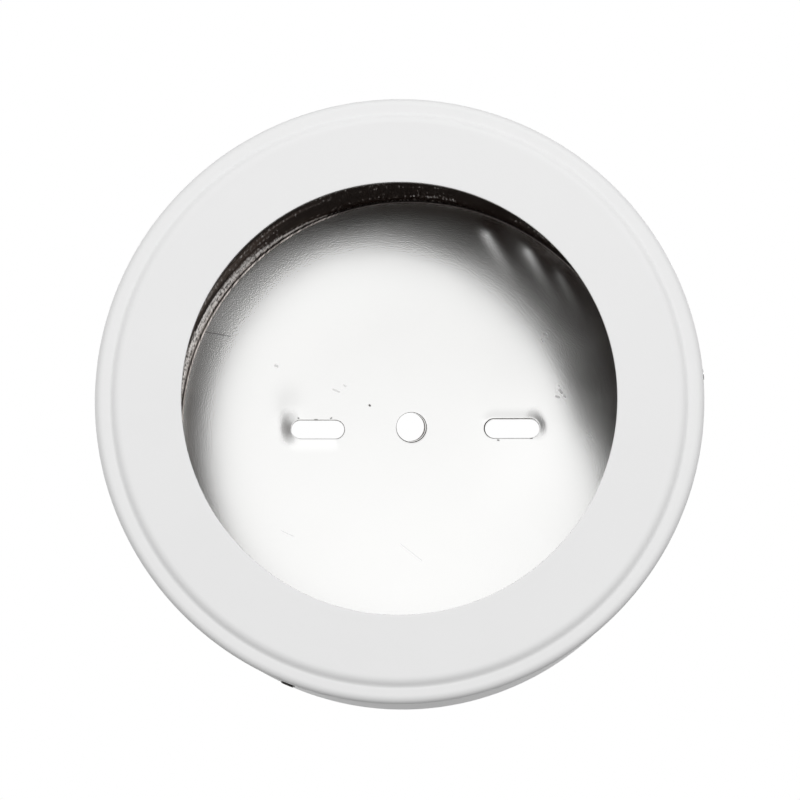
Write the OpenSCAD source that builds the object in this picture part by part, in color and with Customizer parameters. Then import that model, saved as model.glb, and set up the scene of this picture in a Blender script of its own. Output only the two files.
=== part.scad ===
// Surface-mounted downlight housing, in millimetres, as it hangs on a ceiling.
// The ceiling is the plane z = 0 and the lamp opening faces down, towards -Z.
// The origin is the centre of the base's cable hole. A drawn base cup is fixed
// to the ceiling through two slots. A drawn cover slides up over it, and three
// slotted set screws in the cover's side wall clamp it to the cup.

/* [Cover] */
// Diameter over the rounded rim
rim_dia = 110; // [106:0.5:124]
// Height of the cover, from the ceiling to its front face
cover_h = 50; // [46:0.5:64]
// Thickness of the cover's sheet
cover_t = 1; // [0.7:0.1:1.3]
// Diameter of the lamp opening in the front face
opening_dia = 78.4; // [60:0.2:82]
// Radius of the rounded rim, outside
rim_round = 1.5; // [1.2:0.1:2.4]
// How far the rim stands proud of the side wall
rim_proud = 0.5; // [0.2:0.1:0.7]
// Height over which the rim falls back to the side wall
rim_fall = 2; // [1:0.1:4]

/* [Stamped step] */
// Distance of the step's steepest line in from the rim
step_inset = 3.5; // [2.8:0.1:6]
// Height of the face above the band at the rim
step_height = 1; // [0.3:0.05:1.2]
// Width of the step's long inner slope
step_run_in = 1.5; // [1:0.1:3]
// Width of the step's short outer slope
step_run_out = 0.8; // [0.5:0.1:1]

/* [Base cup] */
// Gap from the cup's wall to the cover's wall, all round when both are centred
cup_gap = 8; // [7:0.25:10]
// Thickness of the cup's sheet
cup_t = 0.8; // [0.6:0.1:1.2]
// Inside radius between the cup's plate and its wall
cup_round = 0.5; // [0.3:0.1:3]
// Gap from the cup's open edge to the cover's front sheet
front_gap = 0.5; // [0.3:0.1:4]
// How far the cover hangs off the cup's centre, taken up by the set screws
cover_shift = 1.5; // [0:0.1:2]

/* [Holes in the base] */
// Diameter of the cable hole
cable_dia = 5.4; // [4:0.1:9]
// Distance between the centres of the two ceiling slots
slot_pitch = 37.9; // [30:0.1:50]
// Length of a slot, end to end
slot_len = 10.2; // [6:0.1:12]
// Width of a slot
slot_w = 3.6; // [3:0.1:5]
// How far the slots' midpoint lies beside the cable hole
slot_shift = 0.9; // [0:0.1:2]

/* [Set screws and nuts] */
// Direction of the first set screw, seen from above
screw_from = -7.5; // [-30:0.5:30]
// Distance of the set screws below the ceiling
screw_drop = 25; // [16:0.5:34]
// Diameter over the screw's thread
thread_dia = 3; // [2.5:0.1:3.6]
// Length of a set screw
screw_len = 10; // [9:0.5:13]
// Chamfer at each end of a set screw
screw_chamfer = 0.4; // [0.2:0.05:0.6]
// Width of the driver slot
driver_w = 0.5; // [0.3:0.05:0.8]
// Depth of the driver slot
driver_deep = 1; // [0.6:0.05:1.4]
// Width of a nut across its flats
nut_flats = 5.5; // [5.5:0.1:7]
// Length of a nut's body inside the cover
nut_len = 2.5; // [2:0.1:3.4]
// Diameter of a nut's shank in the cover's wall
shank_dia = 4.6; // [4.5:0.1:5]

/* [Clearances] */
// Radial gap between a screw's thread and its nut
thread_gap = 0.04; // [0.02:0.01:0.08]
// Radial gap between a nut's shank and its hole
shank_gap = 0.02; // [0.01:0.01:0.06]
// Gap between a screw's flat point and the cup
point_gap = 0.1; // [0.1:0.05:0.3]
// Gap between a nut's face and the cover's curved wall
nut_gap = 0.02; // [0.01:0.01:0.1]

/* [Hidden] */
$fn = 128;
// Radii of the cover, and the heights of its face and of the band at its rim
rim_r = rim_dia / 2;
wall_r = rim_r - rim_proud;
wall_in = wall_r - cover_t;
opening_r = opening_dia / 2;
face_z = -cover_h;
band_z = face_z + step_height;
// Radii of the cup
cup_r = wall_in - cup_gap;
cup_in = cup_r - cup_t;
// Centre of the cover, seen from the origin
cover_x = -cover_shift;
// Points on a slope of the step, and on a rounded corner
slope_steps = 8;
round_steps = 10;
// Overrun of a cut past the face that it leaves
over = 1;
// Nut: corner radius, seat plane and shank end, out from the cover's axis
nut_corner = nut_flats / sqrt(3);
nut_seat = sqrt(pow(wall_in, 2) - pow(nut_corner, 2)) - nut_gap;
shank_end = sqrt(pow(wall_r, 2) - pow(shank_dia / 2, 2)) - nut_gap;
thread_r = thread_dia / 2;
// Set screws around the cover, with one node each
screw_count = 3;
// Turn of each driver slot about its own screw, 0 being upright
driver_turn = [0, 90, 35];

// Share of the step's height on its inner slope, which grows steeper by a power
// and meets the outer slope at one steepness
step_power = 2.5;
step_share = (step_run_in / step_power)
    / (step_run_in / step_power + step_run_out * 2 / PI);

// How far the outside has stepped back from the face, at distance s out from
// the step's steepest line
function step_back(s) = step_height * (s < 0
    ? step_share * pow(1 + s / step_run_in, step_power)
    : step_share + (1 - step_share) * sin(90 * s / step_run_out));

// Distances at which the step is drawn, from its inner edge to its outer edge
step_offsets = [for (i = [0 : 2 * slope_steps])
    (i < slope_steps ? step_run_in : step_run_out) * (i / slope_steps - 1)];

// One side of the cover's sheet, from the opening to the ceiling, as points of
// radius and height. sunk is 0 on the outside and cover_t on the inside.
function cover_side(sunk) = concat(
    [[opening_r, face_z + sunk]],
    [for (s = step_offsets) [rim_r - step_inset + s, face_z + sunk + step_back(s)]],
    [for (i = [0 : round_steps]) let (a = 90 * i / round_steps, q = rim_round - sunk)
        [rim_r - rim_round + q * sin(a), band_z + rim_round - q * cos(a)]],
    [for (i = [1 : slope_steps]) let (u = i / slope_steps)
        [rim_r - sunk - rim_proud * (1 - cos(180 * u)) / 2, band_z + rim_round + rim_fall * u]],
    [[wall_r - sunk, 0]]);

// The list, back to front
function turned(points) = [for (i = [len(points) - 1 : -1 : 0]) points[i]];

// Direction of set screw i about the cover's axis
function screw_angle(i) = screw_from + 360 * i / screw_count;

// Distance from the cover's axis to the cup's outside, in direction a
function cup_reach(a) =
    cover_shift * cos(a) + sqrt(pow(cup_r, 2) - pow(cover_shift * sin(a), 2));

// Places its children on set screw i's axis, with +Z pointing outwards
module on_screw_axis(i) {
    translate([cover_x, 0, -screw_drop])
        rotate([0, 0, screw_angle(i)])
            rotate([0, 90, 0])
                children();
}

// Obround hole through the plate, along X
module ceiling_slot(x) {
    reach = (slot_len - slot_w) / 2;
    for (side = [-1, 1])
        translate([x + side * reach, 0, -cup_t - over])
            cylinder(h = cup_t + 2 * over, d = slot_w);
    translate([x - reach, -slot_w / 2, -cup_t - over])
        cube([2 * reach, slot_w, cup_t + 2 * over]);
}

// Drawn cover: front ring, stamped step, rounded rim and side wall
module cover() {
    color([0.91, 0.91, 0.91])
    difference() {
        translate([cover_x, 0, 0])
            rotate_extrude()
                polygon(concat(cover_side(0), turned(cover_side(cover_t))));
        for (i = [0 : screw_count - 1])
            on_screw_axis(i)
                translate([0, 0, wall_in - over])
                    cylinder(h = cover_t + 2 * over, r = shank_dia / 2 + shank_gap);
    }
}

// Drawn cup: plate against the ceiling, rounded corner and side wall
module base_cup() {
    edge_z = face_z + cover_t + front_gap;
    outer_round = cup_round + cup_t;
    function corner(q) = [for (i = [0 : round_steps]) let (a = 90 * i / round_steps)
        [cup_in - cup_round + q * sin(a), -outer_round + q * cos(a)]];
    color([0.72, 0.71, 0.70])
    difference() {
        rotate_extrude()
            polygon(concat([[0, 0]], corner(outer_round), [[cup_r, edge_z], [cup_in, edge_z]],
                           turned(corner(cup_round)), [[0, -cup_t]]));
        translate([0, 0, -cup_t - over])
            cylinder(h = cup_t + 2 * over, d = cable_dia);
        for (side = [-1, 1])
            ceiling_slot(slot_shift + side * slot_pitch / 2);
    }
}

// Hexagonal nut on the cover's inside, with a round shank set in the wall
module cover_nut(i) {
    color([0.78, 0.77, 0.74])
    on_screw_axis(i)
    difference() {
        union() {
            translate([0, 0, nut_seat - nut_len])
                cylinder(h = nut_len, r = nut_corner, $fn = 6);
            translate([0, 0, nut_seat - over])
                cylinder(h = shank_end - nut_seat + over, d = shank_dia);
        }
        translate([0, 0, nut_seat - nut_len - over])
            cylinder(h = shank_end - nut_seat + nut_len + 2 * over, r = thread_r + thread_gap);
    }
}

// Slotted set screw, whose flat point bears on the cup
module set_screw(i) {
    point = cup_reach(screw_angle(i)) + point_gap;
    tip_r = thread_r - screw_chamfer;
    color([0.16, 0.15, 0.15])
    on_screw_axis(i)
    difference() {
        translate([0, 0, point])
            rotate_extrude()
                polygon([[0, 0], [tip_r, 0], [thread_r, screw_chamfer],
                         [thread_r, screw_len - screw_chamfer], [tip_r, screw_len],
                         [0, screw_len]]);
        rotate([0, 0, driver_turn[i]])
            translate([-thread_r - over, -driver_w / 2, point + screw_len - driver_deep])
                cube([thread_dia + 2 * over, driver_w, driver_deep + over]);
    }
}

cover();
base_cup();
cover_nut(0);  // cover_nut_1
cover_nut(1);  // cover_nut_2
cover_nut(2);  // cover_nut_3
set_screw(0);  // set_screw_1
set_screw(1);  // set_screw_2
set_screw(2);  // set_screw_3
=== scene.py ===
"""Dresses a surface-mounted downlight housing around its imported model.

A white drawn cover with a lamp opening slides over a drawn steel base cup, and
three slotted set screws in nuts clamp the two together. Sizes are written in
millimetres, and turn to metres where an object is made.
"""
import logging
import math
from collections.abc import Callable, Sequence
from dataclasses import dataclass, field
from enum import Enum, IntEnum
from typing import Any

import bmesh
import bpy
from mathutils import Matrix, Vector
from mathutils.geometry import delaunay_2d_cdt


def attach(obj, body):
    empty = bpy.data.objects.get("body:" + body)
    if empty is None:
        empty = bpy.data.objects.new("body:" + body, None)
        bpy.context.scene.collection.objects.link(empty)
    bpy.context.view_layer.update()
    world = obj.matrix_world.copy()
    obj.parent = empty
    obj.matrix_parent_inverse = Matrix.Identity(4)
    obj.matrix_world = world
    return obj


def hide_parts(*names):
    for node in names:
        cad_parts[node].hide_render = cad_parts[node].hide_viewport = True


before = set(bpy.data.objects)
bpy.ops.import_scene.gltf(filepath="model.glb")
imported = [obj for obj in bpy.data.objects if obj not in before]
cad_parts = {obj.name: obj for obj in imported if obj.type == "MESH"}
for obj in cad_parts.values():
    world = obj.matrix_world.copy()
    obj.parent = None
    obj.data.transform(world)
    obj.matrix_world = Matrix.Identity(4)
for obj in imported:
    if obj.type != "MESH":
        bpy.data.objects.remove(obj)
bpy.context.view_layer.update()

log = logging.getLogger("downlight")

MM = 0.001
# One unit of a piece's UV map, in millimetres
UV_MM = 100.0
# Sockets of the Mix node where it mixes colours
MIX_A, MIX_B, MIX_OUT = 6, 7, 2
# Steps on the small arc that breaks a cut edge
EDGE_STEPS = 4
# How far a cutting solid runs past the face that it leaves, and the distance
# within which points merge, in millimetres
OVER = 1.0
MERGE = 0.001

Point = tuple[float, float]
Triple = tuple[float, float, float]
Tree = bpy.types.NodeTree
Socket = bpy.types.NodeSocket
Node = bpy.types.Node


class Body(Enum):
    """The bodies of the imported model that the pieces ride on."""

    BASE = "base"
    COVER = "cover"
    SCREW_1 = "screw_1"
    SCREW_2 = "screw_2"
    SCREW_3 = "screw_3"


class Slot(Enum):
    """Names of the material slots."""

    PAINT = "cover_paint"
    STEEL = "drawn_steel"
    ZINC = "zinc_plate"
    OXIDE = "black_oxide"


class Zone(IntEnum):
    """The zones of the base cup, as numbers of their finishes."""

    PLATE = 0
    WALL = 1
    OUTSIDE = 2
    CUT_EDGE = 3
    BACK = 4


def linear(hex_code: str) -> tuple[float, float, float, float]:
    """Turns an sRGB colour to the linear colour that a socket takes.

    Args:
        hex_code: Six hex digits, without a hash.

    Returns:
        Linear red, green and blue, and an alpha of 1.
    """
    channels = (int(hex_code[i:i + 2], 16) / 255 for i in (0, 2, 4))
    red, green, blue = (
        c / 12.92 if c <= 0.04045 else ((c + 0.055) / 1.055) ** 2.4 for c in channels
    )
    return red, green, blue, 1.0


def per_mm(size: float) -> float:
    """Gives the scale of a pattern of that size in mm, on coordinates in metres."""
    return 1 / (size * MM)


def add_node(
    tree: Tree,
    kind: str,
    inputs: dict[str | int, Any] | None = None,
    **settings: Any,
) -> Node:
    """Adds a node with its settings, values and links.

    Args:
        tree: The node tree that gets the node.
        kind: The node's type name.
        inputs: For each input socket, a value or the output socket to link.
        settings: Properties of the node itself.

    Returns:
        The new node.
    """
    node = tree.nodes.new(kind)
    for name, value in settings.items():
        setattr(node, name, value)
    for name, value in (inputs or {}).items():
        if isinstance(value, Socket):
            tree.links.new(value, node.inputs[name])
        else:
            node.inputs[name].default_value = value
    return node


def finish_mesh(mesh: bpy.types.Mesh, crease: float) -> None:
    """Shades a mesh smooth, with its sharp edges marked.

    Args:
        mesh: The mesh.
        crease: The angle in degrees beyond which an edge is sharp.
    """
    shaped = bmesh.new()
    shaped.from_mesh(mesh)
    for face in shaped.faces:
        face.smooth = True
    for edge in shaped.edges:
        edge.smooth = (
            len(edge.link_faces) == 2 and edge.calc_face_angle(0.0) < math.radians(crease)
        )
    shaped.to_mesh(mesh)
    shaped.free()


@dataclass
class Draft:
    """A mesh in the making: points in mm, and faces with a finish number each."""

    points: list[Vector] = field(default_factory=list)
    faces: list[tuple[int, ...]] = field(default_factory=list)
    zones: list[int] = field(default_factory=list)

    def add_points(self, points: Sequence[Vector]) -> list[int]:
        """Adds points, and returns their numbers."""
        self.points.extend(points)
        return list(range(len(self.points) - len(points), len(self.points)))

    def add_face(self, corners: Sequence[int], zone: int = 0) -> None:
        """Adds a face with its finish number."""
        self.faces.append(tuple(corners))
        self.zones.append(zone)

    def revolve(
        self,
        profile: Callable[[float], Sequence[Point]],
        steps: int,
        zones: Sequence[int],
    ) -> list[list[int]]:
        """Sweeps a profile round the Z axis.

        Args:
            profile: Gives the points of radius and height at an angle, always as many.
            steps: Number of steps in a turn.
            zones: The finish number of each strip between two points. With as many
                strips as points, the last point joins the first.

        Returns:
            The numbers of the points, one list for each step.
        """
        grid = []
        for step in range(steps):
            angle = math.tau * step / steps
            across = Vector((math.cos(angle), math.sin(angle), 0))
            up = Vector((0, 0, 1))
            grid.append(self.add_points([across * r + up * z for r, z in profile(angle)]))
        count = len(grid[0])
        for here, there in zip(grid, grid[1:] + grid[:1]):
            for row, zone in enumerate(zones):
                after = (row + 1) % count
                self.add_face((here[row], there[row], there[after], here[after]), zone)
        return grid

    def build(
        self,
        name: str,
        place: Matrix,
        materials: Sequence[bpy.types.Material] = (),
        crease: float = 35.0,
    ) -> bpy.types.Object:
        """Makes the object, smooth but for edges sharper than an angle.

        Args:
            name: The object's name.
            place: Where its own frame lies in the row's frame, in mm.
            materials: Its finishes, by number.
            crease: The angle in degrees beyond which an edge is sharp.

        Returns:
            The object, in metres.
        """
        mesh = bpy.data.meshes.new(name)
        mesh.from_pydata([p * MM for p in self.points], [], self.faces)
        for material in materials:
            mesh.materials.append(material)
        if materials:
            mesh.polygons.foreach_set("material_index", self.zones)
        shaped = bmesh.new()
        shaped.from_mesh(mesh)
        bmesh.ops.remove_doubles(shaped, verts=shaped.verts, dist=MERGE * MM)
        bmesh.ops.recalc_face_normals(shaped, faces=shaped.faces)
        shaped.to_mesh(mesh)
        shaped.free()
        finish_mesh(mesh, crease)
        piece = bpy.data.objects.new(name, mesh)
        bpy.context.scene.collection.objects.link(piece)
        moved = place.copy()
        moved.translation *= MM
        piece.matrix_world = moved
        return piece


def lay_uv(mesh: bpy.types.Mesh, flat_zones: Sequence[int] = (), along: Point = (1, 0)) -> None:
    """Lays a UV map whose U runs round the Z axis, or along one line on flat zones.

    Args:
        mesh: The mesh, in metres.
        flat_zones: Numbers of the finishes whose faces get the flat map.
        along: The direction of U on those faces.
    """
    layer = mesh.uv_layers.new(name="grain")
    unit = UV_MM * MM
    line = Vector(along).normalized()
    for face in mesh.polygons:
        middle = math.atan2(face.center.y, face.center.x)
        radius = max(math.hypot(face.center.x, face.center.y), MM)
        for loop in face.loop_indices:
            co = mesh.vertices[mesh.loops[loop].vertex_index].co
            if face.material_index in flat_zones:
                u = co.x * line.x + co.y * line.y
                v = co.y * line.x - co.x * line.y
            else:
                angle = math.atan2(co.y, co.x)
                angle += math.tau * round((middle - angle) / math.tau)
                u = angle * radius
                v = co.z - math.hypot(co.x, co.y)
            layer.data[loop].uv = (u / unit, v / unit)


def carve(piece: bpy.types.Object, cutter: Draft, place: Matrix, crease: float = 35.0) -> None:
    """Cuts one solid out of another for good.

    Args:
        piece: The object that is cut.
        cutter: The solid to take away, in its own frame.
        place: Where that frame lies in the row's frame, in mm.
        crease: The angle in degrees beyond which an edge is sharp.
    """
    tool = cutter.build("cutter", place)
    cut = piece.modifiers.new("cut", "BOOLEAN")
    cut.operation = "DIFFERENCE"
    cut.solver = "EXACT"
    cut.object = tool
    bpy.context.view_layer.update()
    depsgraph = bpy.context.evaluated_depsgraph_get()
    result = bpy.data.meshes.new_from_object(piece.evaluated_get(depsgraph))
    piece.modifiers.clear()
    piece.data = result
    bpy.data.objects.remove(tool)
    finish_mesh(result, crease)


def arc(centre: Point, radius: float, start: float, end: float, steps: int) -> list[Point]:
    """Gives points on an arc.

    Args:
        centre: Its centre.
        radius: Its radius.
        start: Its first angle in degrees.
        end: Its last angle in degrees.
        steps: Number of steps from first to last.

    Returns:
        The points, both ends among them.
    """
    angles = (math.radians(a) for a in spread(start, end, steps))
    return [(centre[0] + radius * math.cos(a), centre[1] + radius * math.sin(a)) for a in angles]


def spread(start: float, end: float, steps: int) -> list[float]:
    """Gives evenly spaced values from start to end, both among them."""
    return [start + (end - start) * i / steps for i in range(steps + 1)]


@dataclass(frozen=True)
class Finish:
    """A surface finish, which makes one material."""

    name: str = "finish"

    def surface(self, tree: Tree, place: Socket) -> Node:
        """Adds the finish's nodes and returns its shader."""
        raise NotImplementedError

    def material(self) -> bpy.types.Material:
        """Makes the material with the finish's shader as its surface.

        Returns:
            The material.
        """
        material = bpy.data.materials.new(self.name)
        material.use_nodes = True
        tree = material.node_tree
        tree.nodes.clear()
        place = add_node(tree, "ShaderNodeTexCoord").outputs["Object"]
        shader = self.surface(tree, place)
        add_node(tree, "ShaderNodeOutputMaterial", {"Surface": shader.outputs[0]})
        return material


@dataclass(frozen=True)
class PowderCoat(Finish):
    """Polyester powder coat, sprayed and baked on steel.

    The eye gets a soft even white with a faint orange peel and a broad sheen.
    """

    name: str = "powder_coat_white"
    pale: str = "EEEEEE"
    deep: str = "EBEBEB"
    smooth: float = 0.50
    rough: float = 0.60
    sheen: float = 0.3
    # Sizes of the faint clouds and of the orange peel in mm
    cloud: float = 14.0
    peel: float = 1.1
    peel_depth: float = 0.004

    def surface(self, tree: Tree, place: Socket) -> Node:
        """Adds the coat's nodes.

        Args:
            tree: The material's nodes.
            place: The object's coordinates.

        Returns:
            The shader.
        """
        cloud = add_node(tree, "ShaderNodeTexNoise", {
            "Vector": place, "Scale": per_mm(self.cloud), "Detail": 3.0})
        peel = add_node(tree, "ShaderNodeTexNoise", {
            "Vector": place, "Scale": per_mm(self.peel), "Detail": 2.0})
        colour = add_node(tree, "ShaderNodeMix", {
            0: cloud.outputs[0], MIX_A: linear(self.deep), MIX_B: linear(self.pale)},
            data_type="RGBA")
        rough = add_node(tree, "ShaderNodeMapRange", {
            "Value": cloud.outputs[0], "To Min": self.smooth, "To Max": self.rough})
        bump = add_node(tree, "ShaderNodeBump", {
            "Height": peel.outputs[0], "Strength": 0.5, "Distance": self.peel_depth * MM})
        return add_node(tree, "ShaderNodeBsdfPrincipled", {
            "Base Color": colour.outputs[MIX_OUT], "Roughness": rough.outputs[0],
            "Specular IOR Level": self.sheen, "Normal": bump.outputs[0]})


@dataclass(frozen=True)
class Scratch:
    """A scratch or nick on the plate, from start to end, with its half width in mm."""

    start: Point
    end: Point
    half_width: float
    depth: float = 1.0
    # Share of the half width over which it has its full depth
    core: float = 0.4

    def mask(self, tree: Tree, flat: Socket) -> Socket:
        """Adds the test for being on the scratch.

        Args:
            tree: The nodes that get the test.
            flat: The object's coordinates, with no height.

        Returns:
            A socket that falls from the scratch's depth to 0 beside it.
        """
        run = (Vector((*self.end, 0)) - Vector((*self.start, 0))) * MM
        away = add_node(tree, "ShaderNodeVectorMath", {
            0: flat, 1: Vector((*self.start, 0)) * MM}, operation="SUBTRACT")
        along = add_node(tree, "ShaderNodeVectorMath", {
            0: away.outputs[0], 1: run / run.length_squared}, operation="DOT_PRODUCT")
        share = add_node(tree, "ShaderNodeMapRange", {"Value": along.outputs["Value"]})
        foot = add_node(tree, "ShaderNodeVectorMath", {
            0: run, "Scale": share.outputs[0]}, operation="SCALE")
        gap = add_node(tree, "ShaderNodeVectorMath", {
            0: away.outputs[0], 1: foot.outputs[0]}, operation="DISTANCE")
        return add_node(tree, "ShaderNodeMapRange", {
            "Value": gap.outputs["Value"], "From Min": self.half_width * self.core * MM,
            "From Max": self.half_width * MM, "To Min": self.depth, "To Max": 0.0}).outputs[0]


def marks(*rows: tuple[float, ...]) -> tuple[Scratch, ...]:
    """Makes scratches from rows of x and y twice, half width and depth."""
    return tuple(Scratch(row[:2], row[2:4], *row[4:]) for row in rows)


@dataclass(frozen=True)
class RolledSteel(Finish):
    """Cold-rolled sheet steel, skin-passed between ground rolls.

    The eye gets a bright satin mirror with a fine speckle where it reflects
    something grey, and a few scratches that scatter the light.
    """

    name: str = "rolled_steel_bare"
    pale: str = "FDFDFC"
    deep: str = "F8F8F7"
    dirt: str = "3A3633"
    roughness: float = 0.17
    # How far the roughness goes up and down, and what a scratch adds to it
    uneven: float = 0.02
    scatter: float = 0.45
    anisotropy: float = 0.2
    # Size in mm of the faint clouds
    cloud: float = 9.0
    # Drawn coarser than the real grit, which is under 0.1 mm, to show at all
    grit: float = 0.24
    grit_depth: float = 0.009
    # The three widest are dull patches, one at the furrows and one at each slot
    scratches: tuple[Scratch, ...] = marks(
        (20.5, -26.8, 29.3, -17.0, 0.13, 0.22), (26.2, -18.5, 26.5, -18.2, 0.34),
        (25.6, -17.4, 25.8, -17.1, 0.2, 0.5), (29.1, -7.4, 29.5, -6.9, 0.34, 0.6),
        (28.4, -6.2, 28.9, -6.0, 0.3, 0.5), (29.9, -6.3, 30.2, -6.1, 0.26, 0.5),
        (28.9, -8.3, 29.0, -8.2, 0.2, 0.5), (34.6, 1.0, 35.2, 1.9, 0.26, 0.6),
        (-15.0, -7.6, -13.9, -7.1, 0.26, 0.5), (-12.9, -8.4, -12.6, -8.2, 0.24, 0.5),
        (-26.3, -12.3, -25.9, -12.1, 0.36, 0.4), (20.0, -32.0, 32.0, -22.0, 13.0, 0.07),
        (-23.7, -1.8, -23.5, 1.6, 2.4, 0.35), (24.0, -2.4, 24.8, 0.6, 2.0, 0.35),
        (-25.0, 20.0, -22.6, 21.1, 0.10, 0.3), (-1.9, 22.5, 2.3, 25.8, 0.10, 0.3))
    # Dark marks: a scratch filled with dirt, and specks
    specks: tuple[Scratch, ...] = marks(
        (-39.9, -18.8, -35.3, -18.0, 0.17, 0.4), (-7.95, -4.5, -7.85, -4.4, 0.28, 0.9),
        (-21.8, -1.95, -21.7, -1.9, 0.22, 0.7), (-18.6, -1.7, -18.1, -1.7, 0.16, 0.6),
        (-15.5, -1.9, -15.3, -2.0, 0.20, 0.7), (17.0, 2.35, 17.2, 2.4, 0.24, 0.7),
        (23.4, 2.05, 23.7, 2.0, 0.20, 0.7))

    def surface(self, tree: Tree, place: Socket) -> Node:
        """Adds the steel's nodes.

        Args:
            tree: The material's nodes.
            place: The object's coordinates.

        Returns:
            The shader.
        """
        cloud = add_node(tree, "ShaderNodeTexNoise", {
            "Vector": place, "Scale": per_mm(self.cloud), "Detail": 4.0})
        grit = add_node(tree, "ShaderNodeTexNoise", {
            "Vector": place, "Scale": per_mm(self.grit), "Detail": 0.0})
        flat = add_node(tree, "ShaderNodeVectorMath", {
            0: place, 1: (1.0, 1.0, 0.0)}, operation="MULTIPLY").outputs[0]
        sheet = add_node(tree, "ShaderNodeMix", {
            0: cloud.outputs[0], MIX_A: linear(self.deep), MIX_B: linear(self.pale)},
            data_type="RGBA")
        colour = add_node(tree, "ShaderNodeMix", {
            0: self.strongest(tree, flat, self.specks), MIX_A: sheet.outputs[MIX_OUT],
            MIX_B: linear(self.dirt)}, data_type="RGBA")
        smooth = add_node(tree, "ShaderNodeMapRange", {
            "Value": cloud.outputs[0], "To Min": self.roughness - self.uneven,
            "To Max": self.roughness + self.uneven})
        rough = add_node(tree, "ShaderNodeMath", {
            0: self.strongest(tree, flat, self.scratches), 1: self.scatter,
            2: smooth.outputs[0]}, operation="MULTIPLY_ADD")
        bump = add_node(tree, "ShaderNodeBump", {
            "Height": grit.outputs[0], "Strength": 0.6, "Distance": self.grit_depth * MM})
        tangent = add_node(tree, "ShaderNodeTangent", direction_type="UV_MAP", uv_map="grain")
        return add_node(tree, "ShaderNodeBsdfPrincipled", {
            "Base Color": colour.outputs[MIX_OUT], "Metallic": 1.0,
            "Roughness": rough.outputs[0], "Anisotropic": self.anisotropy,
            "Tangent": tangent.outputs[0], "Normal": bump.outputs[0]})

    @staticmethod
    def strongest(tree: Tree, flat: Socket, scratches: Sequence[Scratch]) -> Socket:
        """Joins the masks of several scratches.

        Args:
            tree: The material's nodes.
            flat: The object's coordinates, with no height.
            scratches: The scratches.

        Returns:
            A socket with the largest of their masks.
        """
        level = scratches[0].mask(tree, flat)
        for scratch in scratches[1:]:
            level = add_node(tree, "ShaderNodeMath", {
                0: level, 1: scratch.mask(tree, flat)}, operation="MAXIMUM").outputs[0]
        return level


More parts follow.
